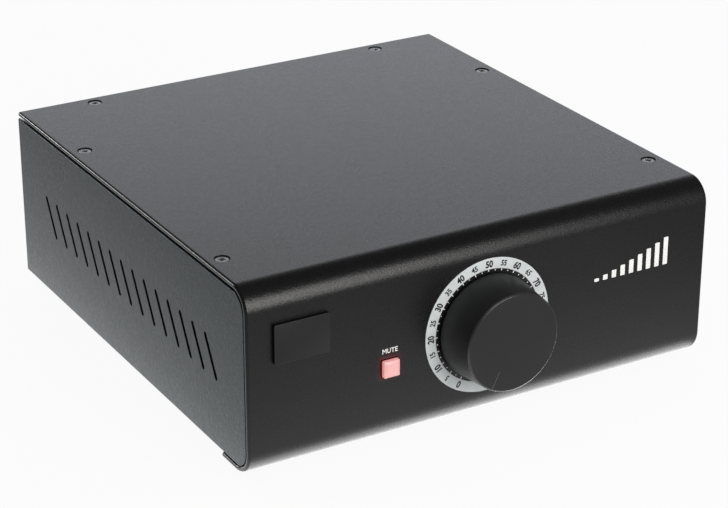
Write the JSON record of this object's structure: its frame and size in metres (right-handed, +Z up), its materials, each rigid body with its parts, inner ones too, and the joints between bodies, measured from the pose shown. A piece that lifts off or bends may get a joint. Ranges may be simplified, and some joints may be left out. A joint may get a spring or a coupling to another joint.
{
  "type": "studio monitor controller",
  "caption": "Desktop volume controller for studio monitors: bent sheet case with side vents, large ringed volume knob, lit mute button, rear connectors and mains inlet.",
  "frame": {"origin": "middle of the bounding box, on the surface that the feet stand on", "axes": "+Y towards the back panel, -Y out of the front panel, +X to the right as seen from the front, +Z up"},
  "size_m": [0.21, 0.237, 0.0824],
  "materials": {
    "coated_sheet": "fine matte powder coat",
    "black_plate": "matte",
    "light_ring": "satin, printed",
    "black_screw": "blackened",
    "foot_rubber": "matte",
    "knob_black": "black anodised, satin",
    "plain_steel": "plated",
    "turned_brass": "turned",
    "dark_plastic": "moulded",
    "circuit_board": "solder mask",
    "ribbon_grey": "flat lead",
    "lit_red_cap": "lit, translucent",
    "white_plastic": "moulded",
    "connector_shell": "tin plated",
    "fuse_glass": "clear",
    "core_wrap": "wrapped tape"
  },
  "bodies": {
    "case": {"chassis_tray": "coated_sheet", "wrap_cover": "coated_sheet", "rear_panel": "coated_sheet", "badge_plate": "black_plate", "dial_ring": "light_ring", "cover_screw_1": "black_screw", "cover_screw_2": "black_screw", "cover_screw_3": "black_screw", "cover_screw_4": "black_screw", "cover_screw_5": "black_screw", "cover_screw_6": "black_screw", "rubber_foot_1": "foot_rubber", "rubber_foot_2": "foot_rubber", "rubber_foot_3": "foot_rubber", "rubber_foot_4": "foot_rubber", "pot_bushing": "turned_brass", "pot_washer": "plain_steel", "pot_nut": "turned_brass", "pot_deck_1": "dark_plastic", "pot_deck_2": "dark_plastic", "pot_deck_3": "dark_plastic", "pot_deck_4": "dark_plastic", "pot_deck_5": "dark_plastic", "pot_deck_6": "dark_plastic", "pot_deck_7": "dark_plastic", "pot_deck_8": "dark_plastic", "pot_rear_plate": "plain_steel", "pot_tie_bolt_1": "plain_steel", "pot_tie_bolt_2": "plain_steel", "volume_board": "circuit_board", "volume_ribbon": "ribbon_grey", "mute_switch": "dark_plastic", "mute_lamp": "lit_red_cap", "front_board": "circuit_board", "main_board": "circuit_board", "board_support_1": "white_plastic", "board_support_2": "white_plastic", "board_support_3": "white_plastic", "board_support_4": "white_plastic", "filter_capacitor_1": "dark_plastic", "filter_capacitor_2": "dark_plastic", "input_connector": "connector_shell", "output_connector": "connector_shell", "jack_screw_1": "plain_steel", "jack_screw_2": "plain_steel", "jack_screw_3": "plain_steel", "jack_screw_4": "plain_steel", "inlet_housing": "dark_plastic", "power_transformer": "core_wrap", "clamp_plate": "plain_steel", "clamp_bolt": "plain_steel"},
    "volume_control": {"volume_knob": "knob_black", "knob_grub_screw": "plain_steel", "pot_shaft": "plain_steel"},
    "mute_button": {"mute_cap": "lit_red_cap", "mute_plunger": "white_plastic"},
    "mains_rocker": {"power_rocker": "dark_plastic"},
    "fuse_holder": {"fuse_drawer": "dark_plastic", "fuse": "fuse_glass"}
  },
  "joints": [
    {"name": "volume_turn", "type": "hinge", "parent": "case", "child": "volume_control", "pos_m": [0, -0.11, 0.0441], "axis": [0, 1, 0], "range_deg": [0, 300]},
    {"name": "mute_press", "type": "slide", "parent": "case", "child": "mute_button", "axis": [0, 1, 0], "range_m": [0, 0.0022], "stiffness_N_per_m": 500, "springref_m": -0.001},
    {"name": "power_switch", "type": "hinge", "parent": "case", "child": "mains_rocker", "pos_m": [0.06825, 0.1127, 0.0625], "axis": [1, 0, 0], "range_deg": [0, 24]},
    {"name": "fuse_drawer_slide", "type": "slide", "parent": "case", "child": "fuse_holder", "axis": [0, 1, 0], "range_m": [0, 0.018]}
  ]
}
